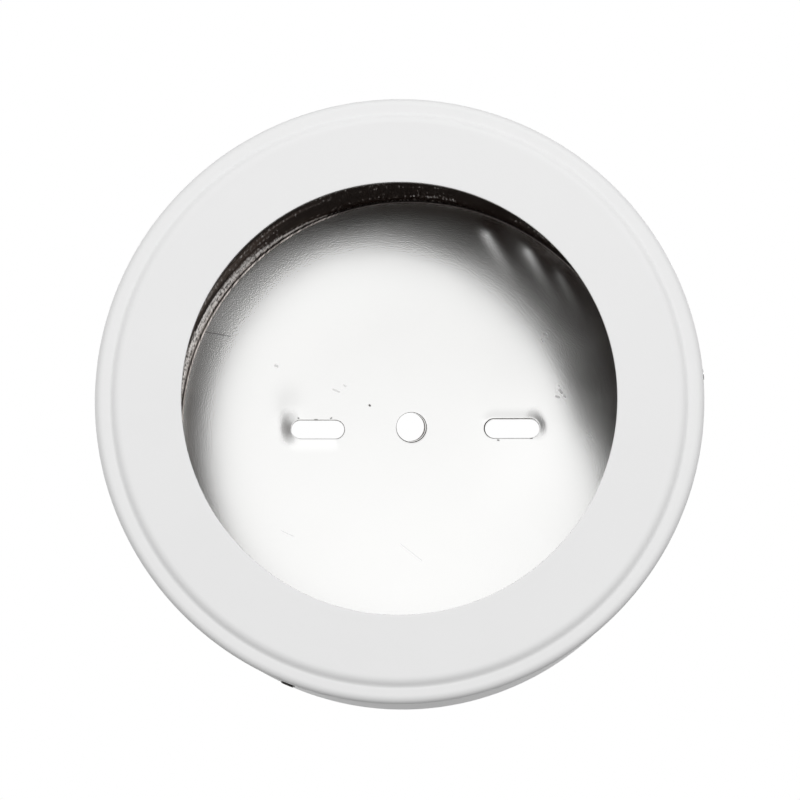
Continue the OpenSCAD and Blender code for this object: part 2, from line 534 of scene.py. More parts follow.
@dataclass(frozen=True)
class DrawnSteel(Finish):
    """Sheet steel after deep drawing, scored by the die along the draw.

    The eye gets fine upright scores under a dark tone, painted shade for the dark
    that the bare wall mirrors inside the cup, and near the foot a pale rubbed zone
    that grows wider and brighter towards one side, where that growth and its pale
    tone are a painted highlight of the side that catches the light.
    """

    name: str = "drawn_steel_wall"
    # By default the dark tone is painted shade: it darkens the bare wall as the dark that it
    # mirrors inside the cup does
    dark: str = "4A4543"
    worn: str = "5A5653"
    pale: str = "E2DAD4"
    # Colour of the metal seen at a grazing angle off the scuffs, kept down with the dark tone as
    # part of its painted shade
    edge: str = "7C7774"
    # Sizes in mm, round the cup and along the draw
    score: Point = (0.45, 3.5)
    line: Point = (12.0, 1.6)
    band: Point = (24.0, 5.0)
    score_depth: float = 0.02
    # Weights of scores and lines beside the bands, and the sums at which the dark
    # tone starts to be rubbed off and is gone
    score_weight: float = 1.8
    line_weight: float = 0.8
    scuffed: Point = (2.08, 2.52)
    # What is added to that sum outside the rubbed zone and in it; the zone's growth towards the lit
    # side is a painted highlight
    rubbed: float = 0.10
    scuff_and_light_zone: float = 0.66
    # Share of the pale tone, a painted highlight, away from the side that catches the light
    even: float = 0.0
    # The side that catches the light, where the pale tone is a painted highlight, and
    # the shares of the way there at which the zone and its pale tone start
    side: Point = (-1.0, 0.0)
    wall_r: float = 44.7
    zone_from: float = 0.27
    highlight_from: float = 0.3
    # Height of the foot, of the zone on the lit side, and of the blur at its limit
    foot_z: float = -1.0
    zone_height: float = 13.0
    zone_blur: float = 3.0
    # Depths below the foot over which the painted highlight of the pale tone fades, and powers of
    # its fade
    fade: Point = (2.0, 10.0)
    fade_power: Point = (0.5, 5.6)
    # Levels of the scores that darken and brighten the pale tone, and how much
    speckled: Point = (0.3, 0.7)
    speckle: Point = (0.4, 1.6)
    # Levels of the bands that streak the dark tone with the pale one, and how much;
    # the streaks show only towards the lit side, a painted highlight
    streak_levels: Point = (0.42, 0.66)
    streak_highlight: Point = (0.03, 0.30)
    roughness: float = 0.45
    rubbed_roughness: float = 0.30

    def surface(self, tree: Tree, place: Socket) -> Node:
        """Adds the wall's nodes.

        Args:
            tree: The material's nodes.
            place: The object's coordinates.

        Returns:
            The shader.
        """
        grain = add_node(tree, "ShaderNodeUVMap", uv_map="grain")
        patterns = []
        for size, detail in ((self.score, 3.0), (self.line, 2.0), (self.band, 3.0)):
            scale = [per_mm(side) * (UV_MM * MM) for side in size] + [1.0]
            laid = add_node(tree, "ShaderNodeMapping", {
                "Vector": grain.outputs[0], "Scale": scale})
            patterns.append(add_node(tree, "ShaderNodeTexNoise", {
                "Vector": laid.outputs[0], "Scale": 1.0, "Detail": detail}).outputs[0])
        scores, lines, bands = patterns
        # How far a point lies towards the side that catches the light
        towards = add_node(tree, "ShaderNodeVectorMath", {
            0: place, 1: [way / (self.wall_r * MM) for way in self.side] + [0.0]},
            operation="DOT_PRODUCT").outputs["Value"]
        height = add_node(tree, "ShaderNodeSeparateXYZ", {"Vector": place}).outputs[2]
        # The rubbed zone reaches further up from the foot towards the lit side, a painted highlight
        limit = add_node(tree, "ShaderNodeMapRange", {
            "Value": towards, "From Min": self.zone_from, "From Max": 1.0,
            "To Max": self.zone_height * MM})
        below = add_node(tree, "ShaderNodeMath", {
            0: limit.outputs[0], 1: height}, operation="ADD")
        half = self.zone_blur / 2
        added = add_node(tree, "ShaderNodeMapRange", {
            "Value": below.outputs[0], "From Min": (self.foot_z - half) * MM,
            "From Max": (self.foot_z + half) * MM,
            "To Min": self.rubbed, "To Max": self.scuff_and_light_zone})
        # Share of the pale tone, a painted highlight rising towards the lit side
        lit_sector = add_node(tree, "ShaderNodeMapRange", {
            "Value": towards, "From Min": self.highlight_from, "From Max": 1.0,
            "To Min": self.even})
        power = add_node(tree, "ShaderNodeMapRange", {
            "Value": height, "From Min": (self.foot_z - self.fade[0]) * MM,
            "From Max": (self.foot_z - self.fade[1]) * MM,
            "To Min": self.fade_power[0], "To Max": self.fade_power[1]})
        # The pale tone, a painted highlight on the lit side, fading away from the foot
        bright = add_node(tree, "ShaderNodeMath", {
            0: lit_sector.outputs[0], 1: power.outputs[0]}, operation="POWER")
        scored = add_node(tree, "ShaderNodeMath", {
            0: scores, 1: self.score_weight, 2: bands}, operation="MULTIPLY_ADD")
        lined = add_node(tree, "ShaderNodeMath", {
            0: lines, 1: self.line_weight, 2: scored.outputs[0]}, operation="MULTIPLY_ADD")
        level = add_node(tree, "ShaderNodeMath", {
            0: lined.outputs[0], 1: added.outputs[0]}, operation="ADD")
        scuff = add_node(tree, "ShaderNodeMapRange", {
            "Value": level.outputs[0], "From Min": self.scuffed[0],
            "From Max": self.scuffed[1]}).outputs[0]
        speckle = add_node(tree, "ShaderNodeMapRange", {
            "Value": scores, "From Min": self.speckled[0], "From Max": self.speckled[1],
            "To Min": self.speckle[0], "To Max": self.speckle[1]})
        tone = add_node(tree, "ShaderNodeMath", {
            0: bright.outputs[0], 1: speckle.outputs[0]}, operation="MULTIPLY", use_clamp=True)
        # Pale streaks in the dark tone, shown towards the lit side only: painted highlight
        streak = add_node(tree, "ShaderNodeMapRange", {
            "Value": bands, "From Min": self.streak_levels[0], "From Max": self.streak_levels[1],
            "To Min": self.streak_highlight[0], "To Max": self.streak_highlight[1]})
        thin = add_node(tree, "ShaderNodeMath", {
            0: lit_sector.outputs[0], 1: streak.outputs[0]}, operation="MULTIPLY")
        # The dark tone, painted shade of the cup's inside, streaked with the pale one
        wall_tone = add_node(tree, "ShaderNodeMix", {
            0: thin.outputs[0], MIX_A: linear(self.dark), MIX_B: linear(self.pale)},
            data_type="RGBA")
        bare = add_node(tree, "ShaderNodeMix", {
            0: tone.outputs[0], MIX_A: linear(self.worn), MIX_B: linear(self.pale)},
            data_type="RGBA")
        colour = add_node(tree, "ShaderNodeMix", {
            0: scuff, MIX_A: wall_tone.outputs[MIX_OUT], MIX_B: bare.outputs[MIX_OUT]},
            data_type="RGBA")
        rough = add_node(tree, "ShaderNodeMapRange", {
            "Value": scuff, "To Min": self.roughness, "To Max": self.rubbed_roughness})
        # The grazing colour off the scuffs is kept down, with the painted shade
        edge = add_node(tree, "ShaderNodeMix", {
            0: scuff, MIX_A: linear(self.edge), MIX_B: linear("FFFFFF")}, data_type="RGBA")
        bump = add_node(tree, "ShaderNodeBump", {
            "Height": scores, "Strength": 0.5, "Distance": self.score_depth * MM})
        return add_node(tree, "ShaderNodeBsdfPrincipled", {
            "Base Color": colour.outputs[MIX_OUT], "Metallic": 1.0,
            "Roughness": rough.outputs[0], "Specular Tint": edge.outputs[MIX_OUT],
            "Normal": bump.outputs[0]})


@dataclass(frozen=True)
class PlatedSteel(Finish):
    """Small steel parts with a thin plated or blackened skin, tumbled in a drum.

    The eye gets an even metal tone, rubbed brighter on its high places.
    """

    name: str = "zinc_plated_steel"
    tone: str = "C9C8C3"
    rubbed: str = "E0DFDC"
    roughness: float = 0.34
    wear: float = 0.5
    # Size in mm and depth of the blotches, their levels that are rubbed, and what
    # they take from and add to the roughness
    blotch: float = 0.8
    blotch_depth: float = 0.01
    rubbed_levels: Point = (0.45, 0.75)
    uneven: Point = (-0.06, 0.1)

    def surface(self, tree: Tree, place: Socket) -> Node:
        """Adds the skin's nodes.

        Args:
            tree: The material's nodes.
            place: The object's coordinates.

        Returns:
            The shader.
        """
        blotch = add_node(tree, "ShaderNodeTexNoise", {
            "Vector": place, "Scale": per_mm(self.blotch), "Detail": 4.0}).outputs[0]
        worn = add_node(tree, "ShaderNodeMapRange", {
            "Value": blotch, "From Min": self.rubbed_levels[0],
            "From Max": self.rubbed_levels[1], "To Max": self.wear})
        colour = add_node(tree, "ShaderNodeMix", {
            0: worn.outputs[0], MIX_A: linear(self.tone), MIX_B: linear(self.rubbed)},
            data_type="RGBA")
        rough = add_node(tree, "ShaderNodeMapRange", {
            "Value": blotch, "To Min": self.roughness + self.uneven[0],
            "To Max": self.roughness + self.uneven[1]})
        bump = add_node(tree, "ShaderNodeBump", {
            "Height": blotch, "Strength": 0.3, "Distance": self.blotch_depth * MM})
        return add_node(tree, "ShaderNodeBsdfPrincipled", {
            "Base Color": colour.outputs[MIX_OUT], "Metallic": 1.0,
            "Roughness": rough.outputs[0], "Normal": bump.outputs[0]})


def settle(piece: bpy.types.Object, node: str, body: Body) -> None:
    """Puts a piece in the place of its node, and on its body.

    Args:
        piece: The piece.
        node: The node that it stands for.
        body: The body that it rides on.
    """
    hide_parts(node)
    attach(piece, body.value)
    log.info("%s: %d faces on %s", piece.name, len(piece.data.polygons), body.value)


@dataclass
class Cover:
    """The drawn cover: front ring, stamped step, rounded rim and side wall."""

    rim_r: float = 55.0
    height: float = 50.0
    sheet: float = 1.0
    opening_r: float = 39.2
    step_inset: float = 3.5
    step_height: float = 1.0
    step_in: float = 1.5
    step_out: float = 0.8
    rim_round: float = 1.5
    rim_proud: float = 0.5
    rim_fall: float = 2.0
    edge_break: float = 0.15
    centre_x: float = -1.5
    screw_z: float = -25.0
    screw_from: float = -7.5
    hole_r: float = 2.32
    steps: int = 360
    # Steps of its outline: ring, step's inner and outer slope, rim, fall and wall
    side_steps: tuple[int, ...] = (8, 14, 10, 12, 10, 12)
    hole_steps: int = 64
    # Exponent of the step's inner slope
    step_power: float = 2.5
    # Margins without points: beside the opening, inside the step, at the wall's ends
    margins: Triple = (0.6, 1.7, 2.0)
    # Cosine of the angle within which a face counts as upright
    upright: float = 0.999

    @property
    def wall_r(self) -> float:
        """Outside radius of the side wall."""
        return self.rim_r - self.rim_proud

    @property
    def place(self) -> Matrix:
        """Where the cover's own frame lies in the row's frame."""
        return Matrix.Translation((self.centre_x, 0, 0))

    def screw_angle(self, number: int) -> float:
        """Direction in degrees of set screw 1, 2 or 3."""
        return self.screw_from + 120 * (number - 1)

    def screw_place(self, number: int, out: float = 0.0) -> Matrix:
        """Gives the frame of a set screw, whose Z axis points outwards.

        Args:
            number: The screw's number.
            out: Distance of the frame's origin from the cover's axis.

        Returns:
            The frame, in mm.
        """
        return (
            Matrix.Translation((self.centre_x, 0, self.screw_z))
            @ Matrix.Rotation(math.radians(self.screw_angle(number)), 4, "Z")
            @ Matrix.Rotation(math.radians(90), 4, "Y")
            @ Matrix.Translation((0, 0, out))
        )

    def step_back(self, s: float) -> float:
        """Gives how far the outside has stepped back from the face.

        Args:
            s: Distance out from the step's steepest line.

        Returns:
            The height, from 0 to the step's own.
        """
        power = self.step_power
        share = (self.step_in / power) / (self.step_in / power + self.step_out * 2 / math.pi)
        if s < 0:
            return self.step_height * share * (1 + s / self.step_in) ** power
        return self.step_height * (
            share + (1 - share) * math.sin(math.pi / 2 * s / self.step_out))

    def side(self, sunk: float) -> list[Point]:
        """Gives one side of the sheet, from the opening to the ceiling.

        Args:
            sunk: 0 on the outside, and the sheet's thickness on the inside.

        Returns:
            Points of radius and height.
        """
        face_z = -self.height + sunk
        band_z = -self.height + self.step_height
        edge = self.edge_break
        q = self.rim_round - sunk
        steepest = self.rim_r - self.step_inset
        turn_z = band_z + self.rim_round
        beside, within, along = self.margins
        ring, inner, outer, rim, fall, wall = self.side_steps
        if sunk:
            points = arc((self.opening_r + edge, face_z - edge), edge, 180, 90, EDGE_STEPS)
        else:
            points = arc((self.opening_r + edge, face_z + edge), edge, 180, 270, EDGE_STEPS)
        points += [(r, face_z) for r in spread(self.opening_r + beside, steepest - within, ring)]
        points += [(steepest + s, face_z + self.step_back(s))
                   for s in spread(-self.step_in, 0, inner)[:-1]
                   + spread(0, self.step_out, outer)]
        points += arc((self.rim_r - self.rim_round, turn_z), q, 270, 360, rim)
        points += [(self.rim_r - sunk - self.rim_proud * (1 - math.cos(math.pi * u)) / 2,
                    turn_z + self.rim_fall * u) for u in spread(0, 1, fall)[1:]]
        points += [(self.wall_r - sunk, z)
                   for z in spread(turn_z + self.rim_fall + along, -along / 2, wall)]
        if sunk:
            points += arc((self.wall_r - sunk + edge, -edge), edge, 180, 90, EDGE_STEPS)
        else:
            points += arc((self.wall_r - edge, -edge), edge, 0, 90, EDGE_STEPS)
        return points

    def build(self, coat: PowderCoat, inside: PowderCoat) -> bpy.types.Object:
        """Builds the cover.

        Args:
            coat: The finish of the outside.
            inside: The finish of the inside.

        Returns:
            The cover.
        """
        outer, inner = self.side(0), self.side(self.sheet)
        profile = outer + inner[::-1]
        zones = [0] * len(outer) + [1] * len(inner)
        draft = Draft()
        draft.revolve(lambda angle: profile, self.steps, zones)
        piece = draft.build("cover_shell", self.place, [coat.material(), inside.material()])
        for number in (1, 2, 3):
            carve(piece, self.hole(), self.screw_place(number))
        self.even_wall(piece.data)
        lay_uv(piece.data)
        settle(piece, "cover", Body.COVER)
        return piece

    def even_wall(self, mesh: bpy.types.Mesh) -> None:
        """Makes the side wall shade evenly beside its holes.

        Args:
            mesh: The cover's mesh, whose upright faces get radial normals.
        """
        normals = [corner.vector.copy() for corner in mesh.corner_normals]
        for face in mesh.polygons:
            out = Vector((face.center.x, face.center.y, 0)).normalized()
            facing = face.normal.dot(out)
            if abs(facing) < self.upright:
                continue
            for loop in face.loop_indices:
                co = mesh.vertices[mesh.loops[loop].vertex_index].co
                normals[loop] = Vector((co.x, co.y, 0)).normalized() * math.copysign(1, facing)
        mesh.normals_split_custom_set(normals)

    def hole(self) -> Draft:
        """Makes the solid that cuts a nut's hole through the side wall.

        Returns:
            The solid, on the screw's axis.
        """
        low, high = self.wall_r - self.sheet - OVER, self.wall_r + OVER
        draft = Draft()
        profile = [(0, low), (self.hole_r, low), (self.hole_r, high), (0, high)]
        draft.revolve(lambda angle: profile, self.hole_steps, [0] * (len(profile) - 1))
        return draft


@dataclass(frozen=True)
class Hole:
    """A round or obround hole in the base's plate, along X.

    Its edge is rolled over by the punch, which went in at a lean, so that the roll
    is largest towards one side. A slot's end can have a lip that the punch lifted.
    Directions are in degrees from +X towards +Y.
    """

    x: float
    y: float
    reach: float
    radius: float
    roll: float
    roll_lean: float
    roll_towards: float
    # How far the hole leans over between the plate's inside and its outside
    lean: Point = (0.0, 0.0)
    lip: float = 0.0
    lip_width: float = 1.0
    lip_towards: float = 0.0
    # Exponents of the lip's fall away from the edge and round it
    lip_fall: float = 1.4
    lip_turn: float = 0.5
    # Steps on half a turn, and along a slot's straight side
    half_steps: int = 24
    side_steps: int = 12

    def clearance(self, x: float, y: float) -> float:
        """Distance of a point from the hole's edge, below zero inside it."""
        past = max(abs(x - self.x) - self.reach, 0.0)
        return math.hypot(past, y - self.y) - self.radius

    def bearing(self, x: float, y: float) -> float:
        """Direction in radians from the hole's middle line to a point."""
        near = min(max(x, self.x - self.reach), self.x + self.reach)
        return math.atan2(y - self.y, x - near)

    def roll_at(self, x: float, y: float) -> float:
        """Radius of the rolled edge beside a point."""
        return self.roll + self.roll_lean * math.cos(
            self.bearing(x, y) - math.radians(self.roll_towards))

    def lift(self, x: float, y: float) -> float:
        """Gives the height of the lip at a point.

        Args:
            x: The point's place along X.
            y: The point's place along Y.

        Returns:
            The height, 0 away from the lip.
        """
        near = min(max(self.clearance(x, y), 0.0) / self.lip_width, 1.0)
        facing = max(math.cos(self.bearing(x, y) - math.radians(self.lip_towards)), 0.0)
        return self.lip * (1 - near) ** self.lip_fall * facing ** self.lip_turn

    def loop(self, out: float) -> list[Point]:
        """Gives the closed line at a distance out from the hole's edge.

        Args:
            out: The distance.

        Returns:
            Its points, anticlockwise.
        """
        r = self.radius + out
        right, left = self.x + self.reach, self.x - self.reach
        points = arc((right, self.y), r, -90, 90, self.half_steps)
        if self.reach:
            points += [(x, self.y + r) for x in spread(right, left, self.side_steps)[1:-1]]
            points += arc((left, self.y), r, 90, 270, self.half_steps)
            points += [(x, self.y - r) for x in spread(left, right, self.side_steps)[1:-1]]
            return points
        return points + arc((self.x, self.y), r, 90, 270, self.half_steps)[1:-1]


@dataclass(frozen=True)
class Bruise:
    """A shallow lump pressed towards the viewer, as height and spreads in mm."""

    x: float
    y: float
    height: float
    spread_x: float
    spread_y: float

    def rise(self, x: float, y: float) -> float:
        """Height of the lump at a point."""
        return self.height * math.exp(
            -((x - self.x) / self.spread_x) ** 2 / 2 - ((y - self.y) / self.spread_y) ** 2 / 2)


@dataclass(frozen=True)
class Furrow:
    """A narrow ridge that a burr on the press has left, highest near its start."""

    start: Point
    end: Point
    height: float
    width: float
    # Share of its length over which it rises
    swell: float = 0.24

    def along(self, x: float, y: float) -> tuple[float, float]:
        """Gives a point's place by the ridge.

        Args:
            x: The point's place along X.
            y: The point's place along Y.

        Returns:
            Its place along the ridge, from 0 to 1, and beside it in mm.
        """
        line = Vector(self.end) - Vector(self.start)
        from_start = Vector((x, y)) - Vector(self.start)
        return from_start.dot(line) / line.length_squared, line.cross(from_start) / line.length

    def rise(self, x: float, y: float) -> float:
        """Gives the height of the ridge at a point.

        Args:
            x: The point's place along X.
            y: The point's place along Y.

        Returns:
            The height, 0 past its ends.
        """
        u, beside = self.along(x, y)
        if not 0.0 < u < 1.0:
            return 0.0
        risen = min(u / self.swell, 1.0)
        return (self.height * risen * risen * (3 - 2 * risen) * (1 - u) ** 2
                * math.exp(-(beside / self.width) ** 2 / 2))


@dataclass(frozen=True)
class Dish:
    """The shallow dish that drawing has left in the plate, towards the opening.

    It starts at one radius and straightens beyond another. Its bend, in 1/mm,
    changes with the direction.
    """

    start_r: float = 20.0
    end_r: float = 40.5
    # Mean bend, its cosine and sine terms over one turn and over half a turn, its top
    bend: float = 0.0024
    once: Point = (-0.0004, 0.0011)
    twice: Point = (-0.0016, 0.0015)
    most: float = 0.004
    # Share of the dish that is missing towards +Y
    flatter: float = 0.85
    # The side where the rim bends on instead, in degrees, with the bend added there
    # and the straightening that is left out
    side: float = -148.0
    side_bend: float = 0.0001
    straighten: float = 3.0
    side_straighten: float = 4.3

    def rise(self, x: float, y: float) -> float:
        """Gives the dish's height at a point.

        Args:
            x: The point's place along X.
            y: The point's place along Y.

        Returns:
            How far the plate lies towards the opening there.
        """
        turn, radius = math.atan2(y, x), math.hypot(x, y)
        past, over = max(radius - self.start_r, 0.0), max(radius - self.end_r, 0.0)
        bend = (self.bend + self.once[0] * math.cos(turn) + self.once[1] * math.sin(turn)
                + self.twice[0] * math.cos(2 * turn) + self.twice[1] * math.sin(2 * turn))
        low = 1 - self.flatter * max(math.sin(turn), 0.0) ** 2
        aside = max(math.cos(turn - math.radians(self.side)), 0.0) ** 4
        return min(max(bend + self.side_bend * aside, 0.0), self.most) * low * (
            past ** 2 - (self.straighten - self.side_straighten * aside) * over ** 2) / 2


@dataclass
class BaseCup:
    """The drawn cup: plate with its holes, rounded corner and side wall."""

    outer_r: float = 45.5
    sheet: float = 0.8
    round_in: float = 0.5
    round_out: float = 1.3
    edge_z: float = -48.5
    edge_break: float = 0.2
    # Radius of the plate's core, whose points are laid out round its holes
    core_r: float = 42.6
    steps: int = 288
    # Direction of the sheet's rolling lines on the plate
    grain_line: Point = (0.92, -0.39)
    dish: Dish = Dish()
    # Steps on the plate's rim beyond the core, on the corner and down the wall
    rim_steps: int = 2
    corner_steps: int = 10
    wall_steps: int = 16
    # Distances from a hole's edge of the lines of points that go round it
    loops_out: tuple[float, ...] = (
        0.0, 0.02, 0.06, 0.12, 0.2, 0.3, 0.42, 0.62, 0.9, 1.25, 1.7)
    # Spacing of the plate's other points: beside the holes, elsewhere, at the furrows
    fine: float = 0.45
    coarse: float = 1.05
    close: float = 0.22
    # Distances from a hole between which the fine points lie, and of the coarse ones
    fine_band: Point = (2.0, 3.4)
    coarse_from: float = 3.8
    # Number of rings of coarse points, the radius of the first, and the free rim
    # outside the coarse and the close points
    rings: int = 38
    first_ring: float = 1.0
    rim_free: Point = (0.9, 0.3)
    # Limits of the close points: along a furrow, beside it in mm, and the box in X
    # and Y that is searched for them
    furrow_reach: Triple = (-0.15, 1.05, 2.9)
    furrow_box: tuple[float, ...] = (10.0, 38.0, -43.0, -17.0)
    # Distance from a hole over which the outside leans with it
    lean_reach: float = 1.6
    holes: tuple[Hole, ...] = (
        Hole(-18.02, 0.24, 3.32, 1.8, roll=0.17, roll_lean=0.09, roll_towards=10,
             lip=0.36, lip_width=2.3, lip_towards=168),
        Hole(0.14, -0.25, 0.0, 2.79, roll=0.34, roll_lean=0.18, roll_towards=35,
             lean=(-0.26, -0.1)),
        Hole(19.86, 0.10, 3.42, 1.82, roll=0.30, roll_lean=0.18, roll_towards=-140,
             lip=0.21, lip_width=1.7, lip_towards=-58))
    bruises: tuple[Bruise, ...] = (
        Bruise(-23.5, -3.6, 0.22, 1.5, 2.2), Bruise(24.0, -5.3, 0.40, 7.0, 10.0))
    furrows: tuple[Furrow, ...] = (
        Furrow((13.8, -42.1), (22.2, -27.6), 0.26, 1.15),
        Furrow((21.9, -39.1), (31.0, -22.3), 0.31, 1.15),
        Furrow((28.4, -33.4), (35.4, -19.9), 0.20, 1.0))

    @property
    def inner_r(self) -> float:
        """Inside radius of the wall."""
        return self.outer_r - self.sheet

    @property
    def corner_r(self) -> float:
        """Radius at which the plate turns into its corner."""
        return self.inner_r - self.round_in

    def rise(self, x: float, y: float) -> float:
        """How far the plate lies towards the opening at a point."""
        return (self.dish.rise(x, y) + sum(bruise.rise(x, y) for bruise in self.bruises)
                + sum(furrow.rise(x, y) for furrow in self.furrows)
                + sum(hole.lift(x, y) for hole in self.holes))

    def profile(self, angle: float) -> list[Point]:
        """Gives the cup's outline beyond its core, from inside to outside.

        Args:
            angle: Direction in radians about the cup's axis.

        Returns:
            Points of radius and height.
        """
        c, s = math.cos(angle), math.sin(angle)
        radii = spread(self.core_r, self.corner_r, self.rim_steps)
        bulge = [self.rise(r * c, r * s) for r in radii]
        centre = (self.corner_r, -self.sheet - self.round_in - bulge[-1])
        wall = spread(centre[1], self.edge_z + self.edge_break, self.wall_steps)
        edge = self.edge_break
        inside = [(r, -self.sheet - b) for r, b in zip(radii, bulge)]
        outside = [(r, -b) for r, b in zip(radii, bulge)]
        return (
            inside[:-1] + arc(centre, self.round_in, 90, 0, self.corner_steps)
            + [(self.inner_r, z) for z in wall[1:-1]]
            + arc((self.inner_r + edge, wall[-1]), edge, 180, 270, EDGE_STEPS)
            + arc((self.outer_r - edge, wall[-1]), edge, 270, 360, EDGE_STEPS)
            + [(self.outer_r, z) for z in wall[-2:0:-1]]
            + arc(centre, self.round_out, 0, 90, self.corner_steps) + outside[-2::-1]
        )

    def zones(self) -> list[int]:
        """The finish of each strip of the outline: plate, wall, edge, outside and back."""
        side = self.corner_steps + self.wall_steps
        return (
            [Zone.PLATE] * self.rim_steps + [Zone.WALL] * side
            + [Zone.CUT_EDGE] * (2 * EDGE_STEPS + 1)
            + [Zone.OUTSIDE] * side + [Zone.BACK] * self.rim_steps)

    def core_points(self) -> tuple[list[Point], list[tuple[int, int]]]:
        """Lays out the plate's core: its rim, the lines round the holes, and fill.

        Returns:
            The points, and the pairs of them that an edge has to join.
        """
        points = [(self.core_r * math.cos(a), self.core_r * math.sin(a))
                  for a in (math.tau * i / self.steps for i in range(self.steps))]
        ties = []
        for hole in self.holes:
            for out in self.loops_out:
                loop = hole.loop(out)
                first = len(points)
                points += loop
                ties += [(first + i, first + (i + 1) % len(loop)) for i in range(len(loop))]
        low, high = self.fine_band
        fine = self.grid(self.fine)
        points += [(x, y) for x in fine for y in fine if low < self.clear(x, y) < high]
        for r in spread(self.first_ring, self.core_r - self.rim_free[0], self.rings):
            count = round(math.tau * r / self.coarse)
            ring = ((r * math.cos(a), r * math.sin(a))
                    for a in (math.tau * i / count for i in range(count)))
            points += [p for p in ring
                       if self.clear(*p) > self.coarse_from and not self.near_furrow(*p)]
        close = self.grid(self.close)
        west, east, south, north = self.furrow_box
        points += [(x, y) for x in close if west < x < east for y in close
                   if south < y < north and self.near_furrow(x, y)
                   and math.hypot(x, y) < self.core_r - self.rim_free[1]]
        return points, ties

    def grid(self, step: float) -> list[float]:
        """Whole steps from one side of the plate's core to the other."""
        count = int(self.core_r / step)
        return [i * step for i in range(-count, count + 1)]

    def near_furrow(self, x: float, y: float) -> bool:
        """Tells whether a point lies in the strip round one of the furrows."""
        first, last, side = self.furrow_reach
        return any(first < u < last and abs(beside) < side
                   for u, beside in (furrow.along(x, y) for furrow in self.furrows))

    def clear(self, x: float, y: float) -> float:
        """Distance of a point from the nearest hole's edge, below zero inside."""
        return min(hole.clearance(x, y) for hole in self.holes)

    def nearest(self, x: float, y: float) -> Hole:
        """The hole whose edge is nearest to a point."""
        return min(self.holes, key=lambda hole: hole.clearance(x, y))

    def roll_at(self, x: float, y: float) -> float:
        """Radius of the rolled edge of the nearest hole at a point."""
        return self.nearest(x, y).roll_at(x, y)

    def rolled(self, x: float, y: float) -> float:
        """Gives how far a hole's rolled edge has sunk into the plate.

        Args:
            x: The point's place along X.
            y: The point's place along Y.

        Returns:
            The depth at that point, 0 beyond the rolled edge.
        """
        roll = self.roll_at(x, y)
        flat = min(max(self.clear(x, y), 0.0), roll)
        return roll - math.sqrt(roll ** 2 - (roll - flat) ** 2)

    def build(self, finishes: Sequence[Finish]) -> bpy.types.Object:
        """Builds the cup.

        Args:
            finishes: The finishes of plate, wall, outside, cut edges and back.

        Returns:
            The cup.
        """
        draft = Draft()
        draft.revolve(self.profile, self.steps, self.zones())
        self.fill_core(draft)
        piece = draft.build(
            "base_cup_shell", Matrix.Identity(4), [f.material() for f in finishes])
        lay_uv(piece.data, (Zone.PLATE, Zone.BACK), self.grain_line)
        settle(piece, "base_cup", Body.BASE)
        return piece

    def backed(self, x: float, y: float) -> Vector:
        """Gives the point of the plate's outside that backs a point of its inside.

        Args:
            x: The point's place along X.
            y: The point's place along Y.

        Returns:
            The point, moved beside a hole as that hole leans.
        """
        share = max(1 - max(self.clear(x, y), 0.0) / self.lean_reach, 0.0)
        lean = self.nearest(x, y).lean
        return Vector((x + share * lean[0], y + share * lean[1], -self.rise(x, y)))

    def fill_core(self, draft: Draft) -> None:
        """Adds the plate's core, both faces and the holes' walls.

        Args:
            draft: The mesh that gets the core. Its doubled points merge in build.
        """
        flat, ties = self.core_points()
        plan, _, cells, *_ = delaunay_2d_cdt([Vector(p) for p in flat], ties, [], 0, 1e-6)
        low = draft.add_points([
            Vector((p.x, p.y, -self.sheet + self.rolled(p.x, p.y) - self.rise(p.x, p.y)))
            for p in plan])
        high = draft.add_points([self.backed(p.x, p.y) for p in plan])
        for cell in cells:
            middle = sum((plan[i] for i in cell), Vector((0, 0))) / len(cell)
            if self.clear(middle.x, middle.y) > 0:
                draft.add_face([low[i] for i in reversed(cell)], Zone.PLATE)
                draft.add_face([high[i] for i in cell], Zone.BACK)
        for hole in self.holes:
            loop = hole.loop(0.0)
            rings = [
                draft.add_points([
                    Vector((x, y, self.roll_at(x, y) - self.sheet - self.rise(x, y)))
                    for x, y in loop]),
                draft.add_points([self.backed(x, y) for x, y in loop])]
            for i in range(len(loop)):
                j = (i + 1) % len(loop)
                draft.add_face(
                    (rings[0][i], rings[0][j], rings[1][j], rings[1][i]), Zone.CUT_EDGE)


